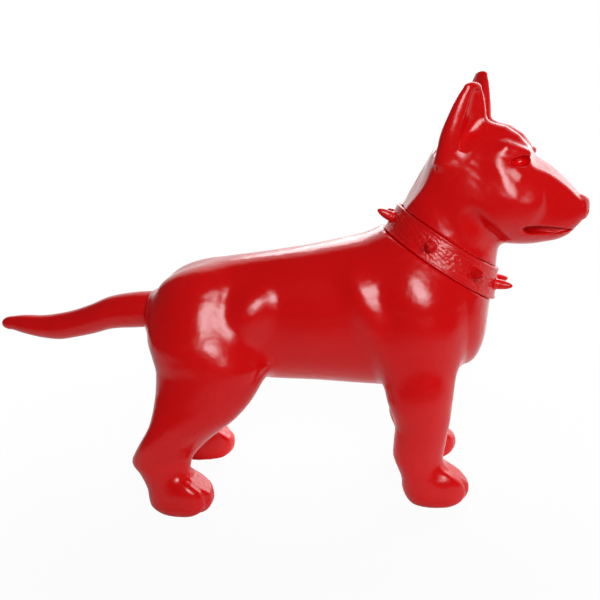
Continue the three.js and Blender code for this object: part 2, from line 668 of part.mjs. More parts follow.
function rightBody() {
  const form = (p) => Math.max(bodyForm(p), p[1] - SPARE, neckHeight(p) - JOINT - SPARE);
  let shell = sculpt(form, BODY_MESH);
  shell = shell.subtract(neckBlock(JOINT - FIT / 2, true)).subtract(seatCut);
  shell = shell.add(neckCone(JOINT - SPIGOT_FOOT, JOINT + SPIGOT_REACH, -SPIGOT_INSET - FIT));
  const hollowTop = SEAT_LOW.height - WALL;
  const hollow = (p) => {
    const d = blend(torso(p), neck(p), NECK_REACH) + WALL;
    return Math.max(d, RUMP_BLOCK_X - p[0], neckHeight(p) - hollowTop, p[1] - SPARE);
  };
  shell = shell.subtract(sculpt(hollow, HOLLOW_MESH));
  const boreFrom = hollowTop - SPARE;
  shell = shell.subtract(neckCone(boreFrom, JOINT + SPIGOT_REACH + SPARE, -SPIGOT_INSET - SPIGOT_WALL));
  shell = shell.subtract(tailSolid(FIT));
  shell = shell.subtract(bar(...tailRodEnds, TAIL_ROD.radius + FIT, ROD_SIDES, 0, 2 * SPARE));
  for (const { foot: [x, y, z], top } of [FRONT_ROD, HIND_ROD]) {
    const ends = [[x, -y, z], [top[0], -top[1], top[2]]];
    shell = shell.subtract(bar(...ends, ROD_RADIUS + FIT, ROD_SIDES, FIT, SPARE));
  }
  const leftSide = new THREE.BoxGeometry(FAR, FAR, FAR).translate(0, FAR / 2 - FIT / 2, 0);
  const ground = new THREE.BoxGeometry(FAR, FAR, FAR).translate(0, 0, -FAR / 2);
  return shell.subtract(solid(leftSide)).subtract(solid(ground));
}

const headFrame = new THREE.Matrix4().makeRotationZ(-HEAD_TURN).setPosition(HEAD_X, 0, 0);

function egg({ centre, radii, slope = 0 }, side = 1) {
  const geometry = new THREE.SphereGeometry(1, EGG_SIDES, EGG_SIDES / 2).scale(...radii).rotateY(-slope);
  return solid(geometry.translate(centre[0], side * centre[1], centre[2]).applyMatrix4(headFrame));
}

// The open mouth: a slot that follows the lips and leaves the inside of the jaws filled.
function mouth() {
  const { corner, upper, lower } = LIPS;
  const outline = new THREE.Shape().moveTo(...corner);
  outline.splineThru(upper.map((point) => new THREE.Vector2(...point)));
  outline.splineThru([...lower, corner].map((point) => new THREE.Vector2(...point)));
  const settings = { depth: MOUTH_DEPTH, bevelEnabled: false, curveSegments: 2 };
  const slot = new THREE.ExtrudeGeometry(outline, settings);
  slot.translate(0, 0, -MOUTH_DEPTH / 2).rotateX(Math.PI / 2);
  return solid(slot.applyMatrix4(headFrame)).subtract(egg(MOUTH_CORE));
}

function head() {
  const form = (p) => {
    const d = blend(bodyForm(p), headForm(p), HEAD_REACH);
    const creased = carve(d, capsule(onLeft(toHead(p)), JAW_CREASE), JAW_CREASE.reach);
    return Math.max(creased, JOINT - SPARE - neckHeight(p));
  };
  let shell = sculpt(form, HEAD_MESH);
  shell = shell.subtract(neckBlock(JOINT + FIT / 2, false)).subtract(seatCut);
  const hollowFoot = SEAT_HIGH.height + WALL;
  const hollow = (p) => {
    const q = toHead(p);
    const d = blend(skull(q), neck(p), HEAD_REACH) + WALL;
    return Math.max(d, hollowFoot - neckHeight(p), q[0] - MUZZLE_SOLID);
  };
  shell = shell.subtract(sculpt(hollow, HOLLOW_MESH));
  shell = shell.subtract(neckCone(JOINT - SPARE, JOINT + SPIGOT_REACH + SOCKET_SPARE, -SPIGOT_INSET));
  shell = shell.subtract(neckCone(JOINT, hollowFoot + SPARE, -SPIGOT_INSET - SPIGOT_WALL));
  for (const side of [1, -1]) {
    shell = shell.subtract(egg(EYE, side)).add(egg(EYEBALL, side)).subtract(egg(NOSTRIL, side));
  }
  return shell.subtract(mouth());
}

function collarStrap(spikes) {
  const low = SEAT_LOW.height;
  const high = SEAT_HIGH.height;
  const top = FIT + STRAP_THICKNESS;
  let strap = neckRing([
    [low, FIT], [low, top + RIM_RAISE], [low + RIM_WIDTH, top + RIM_RAISE], [low + RIM_WIDTH + 1, top],
    [high - RIM_WIDTH - 1, top], [high - RIM_WIDTH, top + RIM_RAISE], [high, top + RIM_RAISE], [high, FIT],
  ]);
  for (const { at, out } of spikes) {
    const from = at.clone().addScaledVector(out, -2 * STRAP_THICKNESS).toArray();
    const to = at.clone().addScaledVector(out, STRAP_THICKNESS).toArray();
    strap = strap.subtract(bar(from, to, PEG_RADIUS + FIT, SPIKE_SIDES));
  }
  return strap;
}

// Where each spike stands on the strap, and the way it points.
function spikePlaces() {
  return SPIKE_ANGLES.map((degrees) => {
    const angle = THREE.MathUtils.degToRad(degrees);
    const growth = FIT + STRAP_THICKNESS;
    const at = seatPoint(JOINT, growth, angle);
    const round = seatPoint(JOINT, growth, angle + 0.01).sub(seatPoint(JOINT, growth, angle - 0.01));
    const up = seatPoint(JOINT + 1, growth, angle).sub(seatPoint(JOINT - 1, growth, angle));
    return { at, out: up.cross(round).normalize() };
  });
}

function spike({ at, out }) {
  const stem = [[0, -PEG_LENGTH], [PEG_RADIUS, -PEG_LENGTH], [PEG_RADIUS, FIT]];
  const flangeTop = [[FLANGE_RADIUS, FLANGE_THICKNESS], [SPIKE_RADIUS, FLANGE_THICKNESS + 1]];
  const tip = SPIKE_TAPER.map(([r, y]) => [r * SPIKE_RADIUS, y * SPIKE_LENGTH]);
  const outline = [...stem, [FLANGE_RADIUS, FIT], ...flangeTop, ...tip];
  const profile = outline.map(([r, y]) => new THREE.Vector2(r, y));
  const geometry = new THREE.LatheGeometry(profile, SPIKE_SIDES);
  geometry.applyQuaternion(new THREE.Quaternion().setFromUnitVectors(THREE.Object3D.DEFAULT_UP, out));
  return solid(geometry.translate(...at.toArray()));
}

const lacquer = { color: 0xb80d10, roughness: 0.18, metalness: 0 };
const steel = { color: 0x9a9da1, roughness: 0.4, metalness: 1 };
const statue = new THREE.Group();
statue.name = 'dog_statue';

function addPiece(name, shape, look) {
  const mesh = new THREE.Mesh(toGeometry(shape), new THREE.MeshStandardMaterial(look));
  mesh.name = name;
  statue.add(mesh);
}

const right = rightBody();
const places = spikePlaces();
addPiece('body_shell_right', right, lacquer);
addPiece('body_shell_left', mirrored(right), lacquer);
addPiece('head_shell', head(), lacquer);
const tailBore = bar(...tailRodEnds, TAIL_ROD.radius + FIT, ROD_SIDES, FIT, 0);
addPiece('tail', tailSolid(0).subtract(tailBore), lacquer);
addPiece('tail_rod', bar(...tailRodEnds, TAIL_ROD.radius, ROD_SIDES), steel);
addPiece('collar', collarStrap(places), lacquer);
places.forEach((place, i) => addPiece(`collar_spike_${i + 1}`, spike(place), lacquer));
for (const [end, { foot, top }] of [['front', FRONT_ROD], ['hind', HIND_ROD]]) {
  for (const [side, sign] of [['right', -1], ['left', 1]]) {
    const ends = [foot, top].map(([x, y, z]) => [x, sign * y, z]);
    addPiece(`leg_rod_${end}_${side}`, bar(...ends, ROD_RADIUS, ROD_SIDES), steel);
  }
}

export default statue;
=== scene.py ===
"""Looks of a free-standing bull terrier statue: sculpted lacquer skins, collar, spikes, studio and camera.

The skins are sculpted with signed distances in millimetres, negative inside and zero on the surface, in the
same frame as the solids: +X is the way the dog faces, +Y its left side, +Z up. Meshes are in metres.
"""

import math

import bpy
import numpy as np
from mathutils import Matrix, Vector


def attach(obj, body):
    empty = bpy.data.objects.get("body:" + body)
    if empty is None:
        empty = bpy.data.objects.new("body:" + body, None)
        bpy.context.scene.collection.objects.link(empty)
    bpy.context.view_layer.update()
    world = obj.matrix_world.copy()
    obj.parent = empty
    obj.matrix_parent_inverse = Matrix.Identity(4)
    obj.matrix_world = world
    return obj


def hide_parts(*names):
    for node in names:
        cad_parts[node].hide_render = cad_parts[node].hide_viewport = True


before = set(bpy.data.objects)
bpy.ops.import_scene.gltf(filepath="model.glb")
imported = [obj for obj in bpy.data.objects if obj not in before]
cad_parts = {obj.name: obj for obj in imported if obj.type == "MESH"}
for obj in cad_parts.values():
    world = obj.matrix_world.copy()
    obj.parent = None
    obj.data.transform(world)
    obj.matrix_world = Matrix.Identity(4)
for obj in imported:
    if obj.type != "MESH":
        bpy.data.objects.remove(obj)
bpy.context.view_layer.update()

MM = 0.001
SHIFT_X = 5.5  # puts the middle of the whole length over the origin
TINY = 1e-6  # keeps the distances defined in the very middle of a form

# Meshing: the space round each sculpted form, and the size of the cells in the blocks near its surface.
BODY_SPACE = ((-275, -155, -20), (395, 155, 470))
BODY_CELL = 3.2
HEAD_SPACE = ((165, -130, 330), (515, 112, 705))
HEAD_CELL = 1.9
TAIL_SPACE = ((-515, -42, 270), (-200, 42, 372))
TAIL_CELL = 2.4
BLOCK = 4  # cells along one side of a block
NEAR = 1.7  # distance from a surface, in blocks, that counts as near
SETTLE_ROUNDS = 3
LEAST_SLOPE = 0.1  # keeps points from flying off where a form's distance hardly changes

# Photograph's camera: the point it looks at, its distance, the angles of view, roll and lens.
CAMERA_TARGET = (0.0385, 0.0, 0.331)
CAMERA_DISTANCE = 1.2203
CAMERA_AZIMUTH = math.radians(5.8)
CAMERA_ELEVATION = math.radians(14.4)
CAMERA_ROLL = math.radians(4.0)
CAMERA_LENS = 43.2

# Lacquer and steel: colours, and the least and greatest roughness.
RED = (0.86, 0.003, 0.004, 1)
RED_DEEP = (0.82, 0.002, 0.003, 1)
GLOSS = (0.16, 0.21)
COLLAR_GLOSS = (0.2, 0.36)
STEEL = (0.62, 0.63, 0.65, 1)
STEEL_DARK = (0.5, 0.51, 0.53, 1)
STEEL_GLOSS = (0.3, 0.5)

# Studio: the white backdrop's direction, the room's fade towards it, the paper floor's corners and fades,
# and the lamps' azimuth, elevation, distance, size and brightness. A fade maps two values to two others.
WHITE = (1, 1, 1, 1)
LAMP_WHITE = (0.88, 0.98, 1)
BACKDROP_WAY = (0.42, 0.9, 0.12)
ROOM_FADE = (0.22, 0.6, 0.07, 1.0)
FLOOR = ((-6, -1.6), (6, 6))
FLOOR_WHITE = (0.45, 0.95, 0.95, 1.0)
# Painted shade: the paper's own colour darkens towards the front, so that the lower sides reflect it dark.
FLOOR_PAINTED_SHADE = (-1.1, 0.2, 0.1, 0.95)
FLOOR_REFLECTED = (0.25, 0.7, 0.0, 1.0)
SOFTBOXES = [
    ("key_core", 14, 25, 2.2, (0.75, 0.8), 4.9),
    ("key_middle", 14, 25, 2.21, (1.1, 1.15), 3.6),
    ("key_edge", 14, 25, 2.22, (1.45, 1.5), 2.0),
    ("rim", 158, 27, 2.6, (3.6, 2.0), 2.6),
]

# Body: each row is a station along the form. A reach is how softly a form joins another or is cut from it.
TORSO = [  # x, top, bottom, half width
    [-212, 366, 280, 50], [-190, 384, 256, 76], [-160, 399, 236, 97], [-125, 409, 219, 103],
    [-95, 414, 210, 96], [-68, 417, 204, 85], [-20, 421, 199, 83], [60, 429, 193, 92],
    [140, 441, 185, 103], [210, 450, 180, 109], [262, 444, 186, 104], [300, 415, 213, 90],
]
BACK_FLAT = (3.5, 12)  # how far the top of the torso is flattened, and the reach
NECK = [  # height along the neck, nape side, throat side, half width
    [20, 106, -100, 98], [60, 102, -98, 91], [100, 95, -95, 85], [125, 101, -84, 82], [150, 107, -72, 78],
    [200, 106, -50, 72], [240, 100, -40, 64],
]
NAPE_FLAT = 91.5  # how far the flat of the nape lies from the neck's line
NAPE_TWIST = (129, 0.00185)  # height where it begins to turn, and how fast
NAPE_FALL = 0.25  # how fast it leaves the neck below the collar
NAPE_REACH = 4
NECK_REACH = 30
FRONT_LEG = [  # z, front, back, half width, from the middle
    [36, 247, 194, 30, 86.5], [60, 254, 185, 31, 87], [85, 259, 177.5, 32, 87], [110, 264, 179.5, 34, 87],
    [140, 270, 182, 36, 87], [180, 276, 171, 41, 85], [220, 283, 166, 43, 78], [258, 290, 164, 45, 76],
    [300, 296, 168, 46, 77], [330, 294, 172, 42, 74],
]
FRONT_LEG_REACH = 20
HIND_LEG = [  # and how much the section turns outwards at the back
    [20, -170, -234, 28, 102, 0], [45, -166, -237, 28, 102, 0], [70, -162, -245, 28, 102, -0.04],
    [95, -154, -254, 29, 102, -0.16], [120, -128, -242, 32, 102, -0.26], [160, -75, -217, 37, 100, -0.2],
    [200, -40, -207, 45, 88.5, -0.11], [240, -22, -206, 60, 72, -0.03], [265, -34, -211, 62, 68.7, 0],
    [295, -50, -217, 62, 62.3, 0], [335, -66, -214, 51, 45, 0], [365, -84, -186, 30, 40, 0],
]
HIND_LEG_REACH = 28
FRONT_PAW = (242.5, 86, 0)  # x, distance from the middle, turn in degrees
FRONT_PAW_REACH = 15
HIND_PAW = (-181, 101.2, 6)
HIND_PAW_REACH = 12
PAW_PAD = ((-12, 0, 25), (38, 33, 36))
TOES = [  # outer and inner side toe, then outer and inner front toe: centre, radii, slope, reach
    ((9, 21, 24), (39, 17.5, 25.5), 0, 8), ((9, -21, 24), (39, 17.5, 25.5), 0, 16),
    ((24, 7.5, 25), (31, 14, 27), 0, 3), ((24, -7.5, 25), (31, 14, 27), 0, 14),
]
TOE_RISE = (25, 0.62)  # height above which the toes are stretched upwards, and one over the stretch
PAW_TOP = (26, 58, 0.77)  # a point of the sloping flat over the toes, and its slope
PAW_TOP_REACH = 4
PAW_INSIDE = 29  # where the paw's inner side is cut straight
PAW_INSIDE_REACH = 10

# Muscles: centre, radii, slope in radians, reach.
LOIN = ((-49, 56, 322), (60, 43, 42), 0.85, 18)
RIBS = ((164, 73, 298), (28, 37, 100), 0.42, 22)
SHOULDER = ((232, 80, 310), (46, 34, 88), 0.3, 24)
FOREARM = ((233, 91, 198), (36, 33, 52), 0, 10)

# Neck line: the foot of the neck, the way it rises and the way its nape faces.
NECK_FOOT = np.array([215, 0, 326.5])
NECK_RISE = np.array([0.58, 0, 0.815]) / math.hypot(0.58, 0.815)
NECK_NAPE = np.array([-NECK_RISE[2], 0, NECK_RISE[0]])
RIGHT = np.array([0, -1, 0])

# Head, in its own frame: u forward, v left, w up, turned to the dog's right about an upright at HEAD_X.
# Lumps and hollows have a centre, radii, slope and reach; folds have two ends, their radii and a reach.
HEAD_TURN = math.radians(18)
HEAD_X = 300
HEAD_REACH = 20
HEAD = [  # u, top, bottom, half width
    [-22, 574, 470, 58], [10, 597, 441, 70], [45, 600, 427, 71], [75, 592, 418, 73], [94, 578, 416, 69.5],
    [112, 560, 416.5, 61], [130, 547, 419, 50], [150, 530, 422.5, 39], [166, 513, 430, 30],
    [174, 503, 438, 26], [187.3, 487, 453, 19.5],
]
MUZZLE_TOP = [  # u, height
    [104, 573], [112.5, 558.5], [117.5, 551.5], [123, 546.5], [138, 536.5], [152, 524], [167, 508.5],
    [173, 501.5], [178, 495.5], [183, 490],
]
MUZZLE_ROOF = 0.3  # how fast its top falls to the sides
MUZZLE_REACH = 2.5
BROW = [  # places and radii along the ridge over the eye
    ((18, 25, 592), 15), ((50, 26, 590), 15), ((70, 26, 584), 15), ((86, 25.5, 574), 14),
    ((96, 25, 564), 12), ((98, 23, 556), 5),
]
BROW_REACH = 9
LID = ((80, 49, 566), (107, 40, 556), 9, 7, 10)
LOWER_LID = ((93, 52, 532), (101, 52, 526), 5, 5, 14)
SOCKET = ((106, 93, 558), (128, 91, 516), 33, 28, 18)
CHEEK = ((35, 52, 478), (48, 26, 46), 0, 22)
JAW_CREASE = ((34, 84, 468), (64, 60, 428), 6, 6, 22)
LIP_FOLD = ((89, 50, 488), (42, 19, 34), 0, 16)
EYE = ((101, 51, 546), (16, 20, 8), 0.2, 3)
NOSE = ((180, 0, 477), (14.5, 15.5, 14.5), 0, 3)
NOSE_WING = ((184, 14, 472), (4, 3, 4), 0, 3)
NOSTRIL = ((195, 8, 465), (6, 3.5, 3.5), 0, 1.5)
RIGHT_EAR = {"base": (8, -38, 548), "tip": (33.5, -51, 664), "face": (0.75, -0.66, 0)}
LEFT_EAR = {"base": (10, 38, 552), "tip": (28, 58, 684.2), "face": (0.75, 0.66, 0)}
EAR = [  # part of the ear's length, half width, half thickness
    [0, 43, 22], [0.36, 40, 19], [0.64, 31, 14], [0.84, 21.5, 10], [0.93, 15, 7.5],
]
EAR_CAPS = (22, 8)  # how far its foot and its tip are rounded out
EAR_REACH = 12
EAR_HOLLOW = [[0.3, 26, 18, 22], [0.6, 22, 14, 19], [0.85, 12.5, 8, 11]]  # and how far forward it lies
EAR_HOLLOW_CAPS = (34, 12)
EAR_HOLLOW_ASIDE = 4  # towards the ear's front edge
EAR_HOLLOW_REACH = 2
EAR_FOOT = (22, 62, 548)  # where the skin is drawn into folds
EAR_FOOT_SPREAD = 34
LIPS_UPPER = [[104, 447], [110, 450.5], [124, 450.5], [146, 447], [164, 442.5], [173, 440], [184, 438]]
LIPS_LOWER = [[104, 446], [110, 440], [124, 437.5], [146, 436], [164, 437.5], [173, 440], [184, 442]]
MOUTH_CORE = ((128, 0, 445), (50, 22, 26))  # what fills the mouth behind the lips
MOUTH_REACH = 1.5

# Unevenness of the cast and hammered faces: height, size and seed of soft irregular waves.
RIPPLE_WAVES = 9  # plain waves that make up an irregular one
RIPPLE_SPREAD = (0.7, 1.4)  # how much coarser or finer than its size they are
BODY_WAVES = [(0.3, 48, 11), (0.12, 17, 12)]
HEAD_WAVES = [(0.3, 36, 13), (0.1, 14, 14)]
NAPE_STREAKS = (0.6, 11, 7)
NAPE_STREAK_DRAW = 0.15  # part of the height that counts, which draws them out along the neck
TOE_WAVES = (0.5, 10, 9)
EAR_FOLDS = (0.7, 17, 21)
STRAP_HAMMERING = (0.45, 6, 3)
STRAP_STREAKS = (0.6, 5, 4)
STRAP_STREAK_DRAW = 0.3  # the same along the strap
STRAP_WAVES = (0.35, 26, 5)

# Tail: x, z of the middle, radius.
TAIL = [
    [-480, 313, 12], [-455, 309, 17], [-425, 304, 20], [-395, 303, 23], [-365, 307, 24], [-333, 314, 26],
    [-297, 324, 28.5], [-250, 327, 31], [-218, 327, 31],
]
TAIL_CAPS = (19, 10)  # how far its tip and its root are rounded out

# Collar: an elliptical strap on a tapering seat. Heights are along the neck.
JOINT = 100  # where the head casting meets the body, in the middle of the strap
FIT = 0.3  # clearance of the strap on its seat
STRAP_WIDTH = 46
STRAP_THICKNESS = 5.5
STRAP_EDGE = (14, 0.25)  # powers that round the strap's edges
STRAP_STEPS = (560, 48, 12)  # round it, over its face and under it
RIM_WIDTH = 4.5
RIM_RAISE = 1.5
RIM_SPREAD = 2.2
HAMMERED_FROM = (7, 3)  # distance of the hammered face from the strap's edges, and how far it fades in
TOOLED_LINES = [  # place across the strap, and its start and end round it in radians
    (-14.5, 1.0, 1.65), (-10.5, 1.1, 1.5), (14, 0.95, 1.7), (-13, 2.2, 2.6), (12, 4.0, 4.7),
]
TOOLED_LINE = (1.1, 1.3, 0.08)  # height, spread, and the angle over which its ends fade
SEAT_LOW = (JOINT - STRAP_WIDTH / 2, 101, 92, -8.8)  # height, half length, half width, middle
SEAT_HIGH = (JOINT + STRAP_WIDTH / 2, 90.5, 81, 5.1)
SPIKE_ANGLES = [22, 65, 110, 172, 215, 259, 304, 348]  # degrees from the throat round by the dog's right
SPIKE = [  # radius, distance out of the strap
    [5, -3], [10, -1], [10.2, 0.9], [9.8, 1.7], [8.5, 2.5], [8.1, 4], [7.8, 8], [7.1, 13], [6, 18],
    [4.7, 22], [3.2, 25], [1.6, 26.8], [0, 27.4],
]
SPIKE_SIDES = 28
NUDGE = 0.01  # angle to either side of a spike that shows how the strap runs there


# Sculpting with signed distances. Points are arrays of shape (3, n).


def blend(a, b, reach):
    """Two forms joined with a soft fillet."""
    h = np.clip(0.5 + 0.5 * (b - a) / reach, 0, 1)
    return b + (a - b) * h - reach * h * (1 - h)


def carve(a, b, reach):
    """A form with another cut out of it, its edge softened."""
    return -blend(-a, b, reach)


def curves(stations):
    """Smooth lines through the columns of a station table, as one function of its first column."""
    table = np.array(stations, float)
    at, values = table[:, 0], table[:, 1:]
    last = len(at) - 1
    before = np.maximum(np.arange(len(at)) - 1, 0)
    after = np.minimum(np.arange(len(at)) + 1, last)
    slopes = (values[after] - values[before]) / (at[after] - at[before])[:, None]

    def line(t):
        t = np.clip(t, at[0], at[-1])
        i = np.clip(np.searchsorted(at, t, side="right") - 1, 0, last - 1)
        h = at[i + 1] - at[i]
        s = (t - at[i]) / h
        r = 1 - s
        start = (r * r * (1 + 2 * s))[:, None] * values[i] + (r * r * s * h)[:, None] * slopes[i]
        end = (s * s * (3 - 2 * s))[:, None] * values[i + 1] - (s * s * r * h)[:, None] * slopes[i + 1]
        return (start + end).T

    return line


def loft(stations, along, across, side, caps, origin=(0, 0, 0), power=2):
    """A form swept through stations along a line, with rounded ends.

    A station has a place on the line, a high and a low side and a half width. It may also have a distance
    aside and a turn.
    """
    line = curves(stations)
    first, last = stations[0][0], stations[-1][0]
    along, across, side, origin = (np.array(axis, float) for axis in (along, across, side, origin))

    def form(p):
        q = p - origin[:, None]
        t = along @ q
        high, low, half, aside, turn = [*line(t), 0, 0][:5]  # zeros for what a station leaves out
        ra = (high - low) / 2
        off = across @ q - (high + low) / 2
        u = np.abs(off) / ra + TINY
        v = np.abs(side @ q - aside - turn * off) / half
        cap = np.where(t < first, caps[0], caps[1])
        over = np.maximum(np.maximum(first - t, t - last), 0) / cap
        m = (u**power + v**power) ** (1 / power)
        steep = m ** (2 - power) * np.hypot(u ** (power - 1) / ra, v ** (power - 1) / half)
        k = np.hypot(m, over)
        return k * (k - 1) / np.hypot(steep, over / cap)

    return form


def ellipsoid(p, centre, radii, slope=0.0):
    """An ellipsoid, turned in the vertical plane by a slope in radians."""
    x, y, z = (value - middle for value, middle in zip(p, centre))
    a, b, c = radii
    u = x * math.cos(slope) + z * math.sin(slope) + TINY
    w = z * math.cos(slope) - x * math.sin(slope)
    k = np.sqrt((u / a) ** 2 + (y / b) ** 2 + (w / c) ** 2)
    return k * (k - 1) / np.sqrt((u / a / a) ** 2 + (y / b / b) ** 2 + (w / c / c) ** 2)


def capsule(p, start, end, start_radius, end_radius):
    """A round-ended stick that tapers from one radius to another."""
    start = np.array(start, float)[:, None]
    run = np.array(end, float)[:, None] - start
    h = np.clip(((p - start) * run).sum(0) / (run * run).sum(), 0, 1)
    return np.sqrt(((p - start - h * run) ** 2).sum(0)) - start_radius - (end_radius - start_radius) * h


def swell(d, p, shape, sizes):
    """A form with another blended on; the last of the sizes is the reach."""
    *sizes, reach = sizes
    return blend(d, shape(p, *sizes), reach)


def sink(d, p, shape, sizes):
    """A form with another carved out of it; the last of the sizes is the reach."""
    *sizes, reach = sizes
    return carve(d, shape(p, *sizes), reach)


def mirrored(p):
    """Points of both sides of the dog, all brought to the left side."""
    return np.array([p[0], np.abs(p[1]), p[2]])


def ripples(place, height, size, seed):
    """Soft irregular waves of about the given height and size."""
    rng = np.random.default_rng(seed)
    total = 0
    for _ in range(RIPPLE_WAVES):
        way = rng.normal(size=len(place))
        way *= 2 * math.pi / size * rng.uniform(*RIPPLE_SPREAD) / np.linalg.norm(way)
        total = total + np.sin(way @ place + rng.uniform(0, 2 * math.pi))
    return height * (total / RIPPLE_WAVES)


def ridge(x, middle, width):
    """A soft hump of height one."""
    return np.exp(-(((x - middle) / width) ** 2))


X_AXIS, Y_AXIS, Z_AXIS = np.eye(3)
torso = loft(TORSO, X_AXIS, Z_AXIS, Y_AXIS, caps=(18, 42), power=2.2)
torso_line = curves(TORSO)
neck = loft(NECK, NECK_RISE, NECK_NAPE, Y_AXIS, caps=(40, 40), origin=NECK_FOOT, power=2.1)
front_leg = loft(FRONT_LEG, Z_AXIS, X_AXIS, Y_AXIS, caps=(20, 45))
hind_leg = loft(HIND_LEG, Z_AXIS, X_AXIS, Y_AXIS, caps=(16, 25))
skull = loft(HEAD, X_AXIS, Z_AXIS, Y_AXIS, caps=(24, 8), power=2.5)


def paw(p, place):
    """A paw: a pad and four toes under a sloping flat, straight on its inner side."""
    x, y, turn = place
    c, s = math.cos(math.radians(turn)), math.sin(math.radians(turn))
    q = np.array([(p[0] - x) * c + (p[1] - y) * s, (p[1] - y) * c - (p[0] - x) * s, p[2]])
    d = ellipsoid(q, *PAW_PAD)
    height, squeeze = TOE_RISE
    stretched = np.array([q[0], q[1], np.where(q[2] > height, height + squeeze * (q[2] - height), q[2])])
    for toe in TOES:
        d = swell(d, stretched, ellipsoid, toe)
    x, z, fall = PAW_TOP
    flat = (z - fall * (q[0] - x) - q[2]) / math.hypot(1, fall) + ripples(q[:2], *TOE_WAVES)
    return carve(carve(d, flat, PAW_TOP_REACH), q[1] + PAW_INSIDE, PAW_INSIDE_REACH)


def neck_height(p):
    """Height of points along the line of the neck."""
    return NECK_RISE @ (p - NECK_FOOT[:, None])


def neck_form(p):
    """The neck with its flat nape, which turns a little towards the ears."""
    height = neck_height(p)
    start, twist = NAPE_TWIST
    flat = NAPE_FLAT + twist * p[1] * np.maximum(height - start, 0)
    flat += NAPE_FALL * np.maximum(JOINT - height, 0)
    flat += ripples(np.array([p[1], NAPE_STREAK_DRAW * height]), *NAPE_STREAKS)
    return carve(neck(p), flat - NECK_NAPE @ (p - NECK_FOOT[:, None]), NAPE_REACH)


def body_form(p):
    """Torso, neck and legs, without the groove for the collar."""
    q = mirrored(p)
    drop, reach = BACK_FLAT
    d = carve(torso(p), torso_line(p[0])[0] - drop - p[2], reach)
    d = swell(d, q, ellipsoid, LOIN)
    d = swell(d, q, ellipsoid, RIBS)
    d = blend(d, neck_form(p), NECK_REACH)
    leg = blend(front_leg(q), paw(q, FRONT_PAW), FRONT_PAW_REACH)
    leg = swell(leg, q, ellipsoid, FOREARM)
    leg = swell(leg, q, ellipsoid, SHOULDER)
    d = blend(d, leg, FRONT_LEG_REACH)
    leg = blend(hind_leg(q), paw(q, HIND_PAW), HIND_PAW_REACH)
    return blend(d, leg, HIND_LEG_REACH)


def ear_form(base, tip, face):
    """An upright ear with a hollow that faces the given way."""
    foot = np.array(base, float)
    along = np.array(tip, float) - foot
    length = np.linalg.norm(along)
    along /= length
    front = np.array(face, float)
    front -= along * (front @ along)
    front /= np.linalg.norm(front)
    across = np.cross(front, along)
    rows = [[part * length, half, -half, thick] for part, half, thick in EAR]
    outside = loft(rows, along, across, front, EAR_CAPS, foot, power=2.2)
    aside = math.copysign(EAR_HOLLOW_ASIDE, across[0])
    rows = [
        [part * length, aside + half, aside - half, thick, out] for part, half, thick, out in EAR_HOLLOW
    ]
    hollow = loft(rows, along, across, front, EAR_HOLLOW_CAPS, foot)
    return lambda q: carve(outside(q), hollow(q), EAR_HOLLOW_REACH)


right_ear = ear_form(**RIGHT_EAR)
left_ear = ear_form(**LEFT_EAR)
muzzle_top = curves(MUZZLE_TOP)
upper_lip = curves(LIPS_UPPER)
lower_lip = curves(LIPS_LOWER)


def to_head(p):
    """Points in the frame of the turned head."""
    dx = p[0] - HEAD_X
    c, s = math.cos(HEAD_TURN), math.sin(HEAD_TURN)
    return np.array([dx * c - p[1] * s, dx * s + p[1] * c, p[2]])


def head_form(p):
    """Skull, muzzle, brow, ears, nose and eyes, without the mouth."""
    q = to_head(p)
    m = mirrored(q)
    d = skull(q)
    (top,) = muzzle_top(q[0])
    d = np.where(q[0] > MUZZLE_TOP[0][0], carve(d, top - MUZZLE_ROOF * m[1] - q[2], MUZZLE_REACH), d)
    d = swell(d, m, ellipsoid, CHEEK)
    d = swell(d, m, ellipsoid, LIP_FOLD)
    d = sink(d, m, capsule, SOCKET)
    brow = [
        capsule(m, start, end, start_radius, end_radius)
        for (start, start_radius), (end, end_radius) in zip(BROW, BROW[1:])
    ]
    d = blend(d, np.minimum.reduce(brow), BROW_REACH)
    d = swell(d, m, capsule, LID)
    for ear in (right_ear, left_ear):
        d = blend(d, ear(q), EAR_REACH)
    away = np.sqrt(((m - np.array(EAR_FOOT, float)[:, None]) ** 2).sum(0))
    d += ripples(q, *EAR_FOLDS) * ridge(away, 0, EAR_FOOT_SPREAD)
    d = swell(d, q, ellipsoid, NOSE)
    d = swell(d, m, ellipsoid, NOSE_WING)
    d = sink(d, m, ellipsoid, NOSTRIL)
    d = sink(d, m, ellipsoid, EYE)
    return swell(d, m, capsule, LOWER_LID)


def mouth_form(p):
    """The open mouth: a slot between the lip lines, as deep as the lips are thick."""
    u, v, w = to_head(p)
    (top,), (bottom,) = upper_lip(u), lower_lip(u)
    slot = np.maximum(w - top, bottom - w)
    core = ellipsoid(np.array([u, v, w]), *MOUTH_CORE)
    return np.maximum(np.maximum(slot, LIPS_UPPER[0][0] - u), -core)


def seat_size(height):
    """Half length, half width and middle of the collar's seat at a height along the neck."""
    part = (height - SEAT_LOW[0]) / (SEAT_HIGH[0] - SEAT_LOW[0])
    return [low + (high - low) * part for low, high in zip(SEAT_LOW[1:], SEAT_HIGH[1:])]


def seat_groove(p):
    """The groove round the neck that the collar lies in."""
    height = neck_height(p)
    long, wide, middle = seat_size(height)
    nape = NECK_NAPE @ (p - NECK_FOOT[:, None]) - middle
    k = np.hypot(nape / long, p[1] / wide)
    return np.maximum(np.abs(height - JOINT) - STRAP_WIDTH / 2 - FIT, (1 - k) * wide)


def body_skin(p):
    """The body from the soles up to the joint under the collar."""
    d = body_form(p)
    for waves in BODY_WAVES:
        d = d + ripples(p, *waves)
    d = np.maximum(d, neck_height(p) - JOINT)
    return np.maximum(np.maximum(d, -seat_groove(p)), -p[2])


